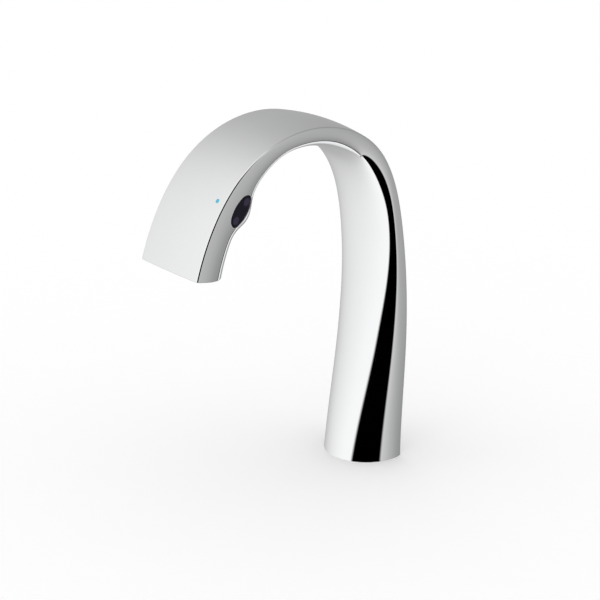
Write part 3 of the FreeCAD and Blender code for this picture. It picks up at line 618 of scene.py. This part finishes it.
def make_light():
    """Light pipe in the outer face, with a slightly domed end."""
    rings = []
    for scale, level in ((0.01, LIGHT_LENGTH), (1.0, LIGHT_LENGTH)):
        rings.append([(x, y, level) for x, y in circle(LIGHT_RADIUS * scale)])
    back = light_frame @ Matrix.Rotation(math.pi, 4, "X")
    for scale, sink in LIGHT_DOME:
        ring = circle(LIGHT_RADIUS * scale)
        rings.append([(x, y, sink - skin.height(back, x, -y)) for x, y in ring])
    pipe = stacked("light_pipe", rings, light_frame)
    sharpen(pipe, 50)
    return pipe


def make_screws(name, placement, places, low, screw):
    """Cap screws with hexagon sockets, heads at the low end, joined in one object."""
    head_radius, head_height = screw["head"]
    shaft_radius, shaft_length = screw["shaft"]
    bevel = head_radius * SCREW_BEVEL
    neck = low + head_height
    end = neck + shaft_length
    made = []
    for x, y in places:
        seat = placement @ Matrix.Translation((x, y, 0))
        profile = [(0, low), (head_radius - bevel, low), (head_radius, low + bevel), (head_radius, neck),
                   (shaft_radius, neck), (shaft_radius, end - bevel), (shaft_radius - bevel, end), (0, end)]
        one = stacked(name, [[seat @ Vector((u, v, h)) for u, v in circle(max(r, AXIS))]
                             for r, h in profile])
        depth = low + head_height * SOCKET_DEPTH
        socket = prism("socket", seat, hexagon(head_radius * SOCKET_SIZE), low - LAP, depth)
        combine(one, socket, "DIFFERENCE")
        made.append(one)
    return merged(made[0], made[1:])


def merged(first, others):
    """Join several meshes into the first one's object."""
    work = bmesh.new()
    work.from_mesh(first.data)
    for other in others:
        work.from_mesh(other.data)
        bpy.data.objects.remove(other)
    work.to_mesh(first.data)
    work.free()
    first.data.shade_smooth()
    sharpen(first)
    return first


def make_shank():
    """Flange in the foot's hollow and the threaded stem below it."""
    flange_section = Section(0.0, WALL + FOOT_GAP)
    outline = [(x, flange_section.place(x, d).y) for x, d in flange_section.cavity()]
    flange = prism("threaded_shank", DECK, outline, FLANGE_BASE, FLANGE_TOP)
    combine(flange, prism("bore", DECK, circle(SHANK_BORE, 96), -FAR, FAR), "DIFFERENCE")
    head_radius, head_height = FOOT_SCREW["head"]
    for side in SIDES:
        places = {"across": side * FOOT_LUG["side"], "up": FOOT_LUG["back"]}
        hole = circle(FOOT_SCREW["shaft"][0] + 2 * SLIP_GAP, **places)
        combine(flange, prism("hole", DECK, hole, -FAR, FAR), "DIFFERENCE")
        sink = circle(head_radius + SLIP_GAP, **places)
        combine(flange, prism("sink", DECK, sink, -FAR, FLANGE_BASE + head_height), "DIFFERENCE")
    rows = int((FLANGE_BASE - SHANK_END) / THREAD_PITCH * THREAD_STEPS)
    rings = [[(x, y, FLANGE_BASE + LAP) for x, y in circle(SHANK_BORE, THREAD_COUNT)],
             [(x, y, FLANGE_BASE + LAP) for x, y in circle(SHANK_RADIUS, THREAD_COUNT)]]
    for row in range(rows + 1):
        height = FLANGE_BASE - row * THREAD_PITCH / THREAD_STEPS
        ends = min(1.0, row / THREAD_STEPS / 2)
        fade = max(0.0, SHANK_END + SHANK_CHAMFER - height) * CHAMFER_SLOPE
        ring = []
        for i in range(THREAD_COUNT):
            turn = (row / THREAD_STEPS + i / THREAD_COUNT) % 1.0
            groove = max(0.0, 1 - abs(2 * turn - 1) * THREAD_FLANK) * THREAD_DEPTH * ends
            radius = SHANK_RADIUS - max(groove, fade)
            angle = 2 * math.pi * i / THREAD_COUNT
            ring.append((radius * math.cos(angle), radius * math.sin(angle), height))
        rings.append(ring)
    rings.append([(x, y, SHANK_END) for x, y in circle(SHANK_BORE, THREAD_COUNT)])
    stem = stacked("stem", rings, closed=True)
    return merged(flange, [stem])


def make_nut():
    """Flanged hexagon nut with chamfered corners."""
    flat, bore, collar, chamfer = (NUT[key] for key in ("flat", "bore", "collar", "chamfer"))
    top, low = NUT["top"], NUT["top"] - NUT["height"]
    seat = top - NUT["collar_height"]
    corner = flat / math.cos(math.pi / 6)
    bend = NUT["collar_round"]
    nut = prism("hexagon_nut", DECK, hexagon(flat), low, seat)
    cone = [(AXIS, low), (flat - NUT["corner_in"], low), (corner, low + NUT["corner_fall"]),
            (corner, seat), (AXIS, seat)]
    combine(nut, turned("cone", cone), "INTERSECT")
    disc = [(AXIS, seat - NUT["collar_lap"]), (collar - bend, seat), (collar, seat + bend),
            (collar, top - bend), (collar - bend, top), (AXIS, top)]
    combine(nut, turned("collar", disc), "UNION")
    hole = [(AXIS, low - LAP), (bore + chamfer + LAP, low - LAP), (bore, low + chamfer),
            (bore, top - chamfer), (bore + chamfer + LAP, top + LAP), (AXIS, top + LAP)]
    combine(nut, turned("hole", hole), "DIFFERENCE")
    nut.data.shade_smooth()
    sharpen(nut)
    return nut


# ---------------------------------------------------------------- materials

def node_of(tree, kind, **values):
    """Shader node with some of its properties and inputs set."""
    node = tree.nodes.new(kind)
    for key, value in values.items():
        if key in node.inputs:
            node.inputs[key].default_value = value
        else:
            setattr(node, key, value)
    return node


def surface(name, colour, metallic, roughness, grain, colour_play, roughness_play, bump, coat=0.0):
    """Material with fine procedural variation of colour, gloss and relief.

    The grain is in details per millimetre, and the plays are shares of the plain values.
    """
    material = bpy.data.materials.new(name)
    material.use_nodes = True
    tree = material.node_tree
    shader = tree.nodes["Principled BSDF"]
    shader.inputs["Metallic"].default_value = metallic
    shader.inputs["Coat Weight"].default_value = coat
    place = node_of(tree, "ShaderNodeTexCoord")
    noise = node_of(tree, "ShaderNodeTexNoise", Scale=grain / MM, Detail=4.0, Roughness=0.6)
    tree.links.new(place.outputs["Object"], noise.inputs["Vector"])
    tint = node_of(tree, "ShaderNodeMapRange")
    tint.inputs["To Min"].default_value = 1 - colour_play
    tint.inputs["To Max"].default_value = 1 + colour_play
    tree.links.new(noise.outputs["Fac"], tint.inputs["Value"])
    mix = node_of(tree, "ShaderNodeVectorMath", operation="SCALE")
    mix.inputs[0].default_value = colour
    tree.links.new(tint.outputs["Result"], mix.inputs["Scale"])
    tree.links.new(mix.outputs["Vector"], shader.inputs["Base Color"])
    gloss = node_of(tree, "ShaderNodeMapRange")
    gloss.inputs["To Min"].default_value = roughness * (1 - roughness_play)
    gloss.inputs["To Max"].default_value = roughness * (1 + roughness_play)
    tree.links.new(noise.outputs["Fac"], gloss.inputs["Value"])
    tree.links.new(gloss.outputs["Result"], shader.inputs["Roughness"])
    if bump:
        relief = node_of(tree, "ShaderNodeBump", Strength=bump, Distance=0.02 * MM)
        tree.links.new(noise.outputs["Fac"], relief.inputs["Height"])
        tree.links.new(relief.outputs["Normal"], shader.inputs["Normal"])
    return material


def window_material():
    """Dark violet acrylic with the two paler lenses showing behind it."""
    material = surface("window_acrylic", (0.010, 0.009, 0.015), 0.0, 0.08, 0.6, 0.15, 0.3, 0.0)
    tree = material.node_tree
    shader = tree.nodes["Principled BSDF"]
    shader.inputs["Specular IOR Level"].default_value = 0.06
    dark = shader.inputs["Base Color"].links[0].from_socket
    flat = node_of(tree, "ShaderNodeVectorMath", operation="MULTIPLY")
    flat.inputs[1].default_value = (1, 1, 0)
    tree.links.new(tree.nodes["Texture Coordinate"].outputs["Object"], flat.inputs[0])
    outside, inside = (LENS_RADIUS * share * MM for share in LENS_EDGE)
    weights = []
    for side in SIDES:
        away = node_of(tree, "ShaderNodeVectorMath", operation="DISTANCE")
        tree.links.new(flat.outputs["Vector"], away.inputs[0])
        away.inputs[1].default_value = (side * LENS_SPACING / 2 * MM, 0, 0)
        ring = node_of(tree, "ShaderNodeMapRange", interpolation_type="SMOOTHSTEP")
        ring.inputs["From Min"].default_value = outside
        ring.inputs["From Max"].default_value = inside
        tree.links.new(away.outputs["Value"], ring.inputs["Value"])
        weights.append(ring.outputs["Result"])
    total = node_of(tree, "ShaderNodeMath", operation="ADD", use_clamp=True)
    tree.links.new(weights[0], total.inputs[0])
    tree.links.new(weights[1], total.inputs[1])
    blend = node_of(tree, "ShaderNodeMix", data_type="RGBA")
    colour = [socket for socket in blend.inputs if socket.type == "RGBA"]
    colour[1].default_value = (0.034, 0.028, 0.048, 1)
    tree.links.new(total.outputs["Value"], blend.inputs["Factor"])
    tree.links.new(dark, colour[0])
    result = [socket for socket in blend.outputs if socket.type == "RGBA"][0]
    tree.links.new(result, shader.inputs["Base Color"])
    return material


def light_material():
    """Blue-green light pipe that glows a little."""
    material = surface("status_blue", (0.06, 0.42, 0.55), 0.0, 0.2, 1.5, 0.12, 0.3, 0.1)
    shader = material.node_tree.nodes["Principled BSDF"]
    shader.inputs["Emission Color"].default_value = (0.03, 0.28, 0.38, 1)
    shader.inputs["Emission Strength"].default_value = 0.35
    return material


MATERIALS = {
    "chrome_plate": surface("chrome", (0.93, 0.935, 0.94), 1.0, 0.05, 0.08, 0.012, 0.25, 0.0),
    "dark_window": window_material(),
    "black_rubber": surface("rubber", (0.025, 0.025, 0.025), 0.0, 0.75, 1.2, 0.25, 0.15, 0.4),
    "black_plastic": surface("black_moulding", (0.03, 0.03, 0.033), 0.0, 0.45, 2.0, 0.2, 0.2, 0.25),
    "clear_lens": surface("clear_epoxy", (0.7, 0.74, 0.8), 0.0, 0.1, 0.8, 0.05, 0.3, 0.0, coat=0.5),
    "smoke_lens": surface("smoked_epoxy", (0.12, 0.12, 0.15), 0.0, 0.1, 0.8, 0.1, 0.3, 0.0, coat=0.5),
    "green_board": surface("solder_mask", (0.03, 0.22, 0.1), 0.0, 0.35, 3.0, 0.3, 0.2, 0.3),
    "steel": surface("stainless", (0.6, 0.61, 0.63), 1.0, 0.28, 3.0, 0.06, 0.3, 0.2),
    "lead_sheath": surface("sheath", (0.035, 0.035, 0.037), 0.0, 0.6, 1.0, 0.2, 0.2, 0.3),
    "blue_light": light_material(),
    "white_plastic": surface("acetal", (0.78, 0.79, 0.78), 0.0, 0.4, 1.5, 0.04, 0.15, 0.15),
    "grey_plastic": surface("grey_moulding", (0.38, 0.4, 0.41), 0.0, 0.4, 1.5, 0.08, 0.15, 0.2),
    "white_tube": surface("polyethylene", (0.8, 0.82, 0.82), 0.0, 0.35, 0.8, 0.04, 0.2, 0.1),
    "brass": surface("machined_brass", (0.72, 0.55, 0.27), 1.0, 0.24, 2.5, 0.08, 0.3, 0.2),
}
SLOTS = {row["node"]: row["material_slot"] for row in frame["record"]["subparts"]}


REPLACED = set()


def paint(item, slot_name):
    """Give a piece the material of its slot."""
    item.data.materials.clear()
    item.data.materials.append(MATERIALS[slot_name])


def stand_for(item, body, *names):
    """A finished piece that rides on a body and takes the place of CAD nodes."""
    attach(item, body)
    if names:
        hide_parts(*names)
        REPLACED.update(names)
    paint(item, SLOTS[names[0]] if names else "chrome_plate")


# ---------------------------------------------------------------- assembly

WELD_REACH = 0.002
SOFT_WIDTH = 0.12
SOFT_ANGLE = math.radians(35)

stand_for(make_shell(), "spout", "spout_body")
stand_for(make_rim(), "spout")
stand_for(make_glass(), "spout", "sensor_window")
stand_for(make_light(), "spout", "status_light_pipe")
stand_for(make_shank(), "spout", "mounting_shank")
stand_for(make_nut(), "clamp_nut", "clamp_nut")
ears = [(side * EAR_PLACE, 0) for side in SIDES]
stand_for(make_screws("sensor_cap_screws", sensor_frame, ears, SENSOR_SCREW["low"], SENSOR_SCREW),
          "spout", "sensor_screws")
jet_up = outlet_frame @ Matrix.Rotation(math.pi, 4, "X")
lugs = [(side * OUTLET_LUG["side"], -OUTLET_LUG["shift"]) for side in SIDES]
stand_for(make_screws("outlet_cap_screws", jet_up, lugs, 0.0, OUTLET_SCREW), "spout", "outlet_screws")
feet = [(side * FOOT_LUG["side"], FOOT_LUG["back"]) for side in SIDES]
stand_for(make_screws("foot_cap_screws", DECK, feet, FLANGE_BASE, FOOT_SCREW), "spout", "foot_screws")

for name, node in nodes.items():
    if name in REPLACED:
        continue
    paint(node, SLOTS[name])
    weld = node.modifiers.new("weld", "WELD")
    weld.merge_threshold = WELD_REACH * MM
    soften = node.modifiers.new("soften", "BEVEL")
    soften.limit_method = "ANGLE"
    soften.angle_limit = SOFT_ANGLE
    soften.width = SOFT_WIDTH * MM
    soften.segments = 2
    soften.harden_normals = True


# ---------------------------------------------------------------- studio

# The studio that metal shows, in degrees, where azimuth 0 is the spout's front (-Y) and 90 the
# window's side (+X): light in front, darker behind, and a dark flag round the camera
CAMERA_AZIMUTH = 51.52
CAMERA_ELEVATION = 19.72
STUDIO_MEAN = 0.65
STUDIO_SWING = 0.35
FLAG_HALF = 40.0
FLAG_TOP = 60.0
FLAG_BLUR = 4.0
FLOOR_HALF = 1500.0

# Camera: the point that it looks at in millimetres, its distance in metres and its lens
CAMERA_TARGET = (0, -43.7, 109.6)
CAMERA_DISTANCE = 1.4
CAMERA_LENS = 139.4
CAMERA_NEAR = 0.05


class Graph:
    """Short hand for chains of number nodes in a shader tree."""

    def __init__(self, tree):
        self.tree = tree

    def math(self, operation, first, second=None):
        node = node_of(self.tree, "ShaderNodeMath", operation=operation)
        for socket, value in zip(node.inputs, (first, second)):
            if isinstance(value, bpy.types.NodeSocket):
                self.tree.links.new(value, socket)
            elif value is not None:
                socket.default_value = value
        return node.outputs["Value"]

    def below(self, value, limit, blur):
        """1 under a limit and 0 over it, smooth between them."""
        node = node_of(self.tree, "ShaderNodeMapRange", interpolation_type="SMOOTHSTEP")
        node.inputs["From Min"].default_value = limit - blur
        node.inputs["From Max"].default_value = limit + blur
        node.inputs["To Min"].default_value = 1.0
        node.inputs["To Max"].default_value = 0.0
        self.tree.links.new(value, node.inputs["Value"])
        return node.outputs["Result"]


def make_world():
    """Even white light, with a soft fall to the rear and a flag that only gloss shows."""
    world = bpy.data.worlds.new("studio")
    world.use_nodes = True
    bpy.context.scene.world = world
    tree = world.node_tree
    graph = Graph(tree)
    place = node_of(tree, "ShaderNodeTexCoord")
    parts = node_of(tree, "ShaderNodeSeparateXYZ")
    tree.links.new(place.outputs["Generated"], parts.inputs["Vector"])
    x, y, z = (parts.outputs[axis] for axis in "XYZ")
    azimuth = graph.math("ARCTAN2", x, graph.math("MULTIPLY", y, -1.0))
    elevation = graph.math("ARCSINE", z)
    fall = graph.math("MULTIPLY", graph.math("COSINE", azimuth), STUDIO_SWING)
    light = graph.math("ADD", fall, STUDIO_MEAN)
    away = graph.math("ABSOLUTE", graph.math("SUBTRACT", azimuth, math.radians(CAMERA_AZIMUTH)))
    blur = math.radians(FLAG_BLUR)
    flag = graph.math("MULTIPLY", graph.below(away, math.radians(FLAG_HALF), blur),
                      graph.below(elevation, math.radians(FLAG_TOP), blur))
    shown = graph.math("MULTIPLY", light, graph.math("SUBTRACT", 1.0, flag))
    ray = node_of(tree, "ShaderNodeLightPath")
    pick = node_of(tree, "ShaderNodeMix")
    pick.inputs["A"].default_value = 1.0
    tree.links.new(ray.outputs["Is Glossy Ray"], pick.inputs["Factor"])
    tree.links.new(shown, pick.inputs["B"])
    tree.links.new(pick.outputs["Result"], tree.nodes["Background"].inputs["Color"])


def floor_material():
    """White deck, clear from below and to gloss, so that metal shows the studio beyond it."""
    material = bpy.data.materials.new("deck_white")
    material.use_nodes = True
    tree = material.node_tree
    graph = Graph(tree)
    shader = tree.nodes["Principled BSDF"]
    shader.inputs["Base Color"].default_value = (1, 1, 1, 1)
    shader.inputs["Roughness"].default_value = 0.9
    shader.inputs["Specular IOR Level"].default_value = 0.0
    clear = node_of(tree, "ShaderNodeBsdfTransparent")
    side = node_of(tree, "ShaderNodeNewGeometry")
    ray = node_of(tree, "ShaderNodeLightPath")
    through = graph.math("MAXIMUM", side.outputs["Backfacing"], ray.outputs["Is Glossy Ray"])
    mix = node_of(tree, "ShaderNodeMixShader")
    tree.links.new(through, mix.inputs["Fac"])
    tree.links.new(shader.outputs["BSDF"], mix.inputs[1])
    tree.links.new(clear.outputs["BSDF"], mix.inputs[2])
    tree.links.new(mix.outputs["Shader"], tree.nodes["Material Output"].inputs["Surface"])
    return material


def make_floor():
    """Wide plain floor in the plane of the deck."""
    half = FLOOR_HALF
    corners = [(-half, -half, 0), (half, -half, 0), (half, half, 0), (-half, half, 0)]
    mesh = bpy.data.meshes.new("deck")
    mesh.from_pydata([tuple(MM * c for c in corner) for corner in corners], [], [(0, 1, 2, 3)])
    floor = bpy.data.objects.new("deck", mesh)
    bpy.context.scene.collection.objects.link(floor)
    mesh.materials.append(floor_material())


def make_camera():
    """Camera at its azimuth and elevation, looking at the tap's middle."""
    target = Vector(CAMERA_TARGET) * MM
    azimuth, elevation = math.radians(CAMERA_AZIMUTH), math.radians(CAMERA_ELEVATION)
    away = Vector((math.sin(azimuth) * math.cos(elevation), -math.cos(azimuth) * math.cos(elevation),
                   math.sin(elevation)))
    camera = bpy.data.objects.new("camera", bpy.data.cameras.new("camera"))
    bpy.context.scene.collection.objects.link(camera)
    camera.location = target + away * CAMERA_DISTANCE
    camera.rotation_euler = (-away).to_track_quat("-Z", "Y").to_euler()
    camera.data.lens = CAMERA_LENS
    camera.data.clip_start = CAMERA_NEAR
    bpy.context.scene.camera = camera


make_floor()
make_world()
make_camera()
bpy.context.scene.view_settings.view_transform = "Standard"
